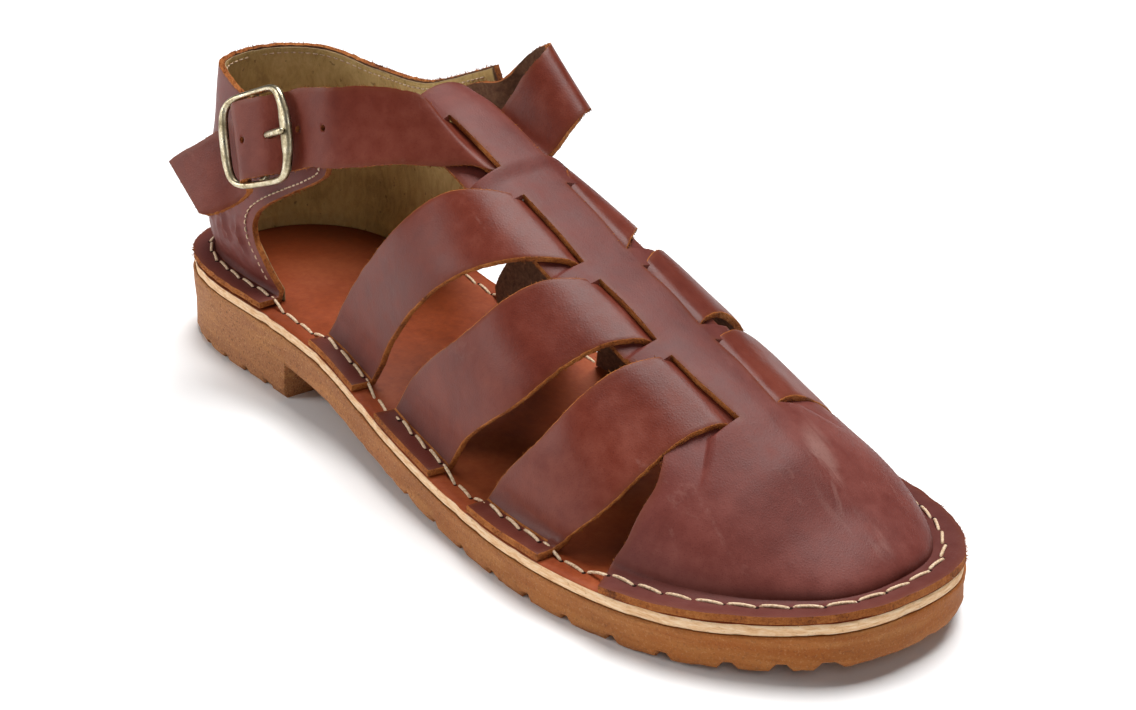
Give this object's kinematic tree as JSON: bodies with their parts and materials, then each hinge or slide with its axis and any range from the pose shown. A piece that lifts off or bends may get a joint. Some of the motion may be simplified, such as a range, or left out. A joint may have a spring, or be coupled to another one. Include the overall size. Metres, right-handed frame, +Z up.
{
  "type": "fisherman sandal",
  "caption": "Right-foot leather fisherman sandal: closed toe cap with a centre strip woven over cross straps, a heel counter, a buckled ankle strap and a lugged rubber sole.",
  "frame": {"origin": "middle of the bounding box on the ground under the sole", "axes": "+X from the heel to the toe, +Y to the inner side of this right shoe, +Z up"},
  "size_m": [0.3002, 0.104, 0.1118],
  "materials": {
    "outsole": "matte speckled natural rubber",
    "insole": "smooth waxed tan, pale cut edge",
    "upper": "pull-up red-brown with pale scuffs",
    "heel_counter": "pull-up red-brown, napped olive lining inside",
    "ankle_strap": "pull-up red-brown",
    "buckle_chape": "pull-up red-brown",
    "buckle_frame": "antique brass, worn bright",
    "buckle_prong": "antique brass, worn bright"
  },
  "bodies": {
    "root": {"outsole": "outsole", "insole": "insole", "upper": "upper", "heel_counter": "heel_counter", "ankle_strap": "ankle_strap", "buckle_chape": "buckle_chape", "buckle_frame": "buckle_frame", "buckle_prong": "buckle_prong"}
  },
  "joints": []
}
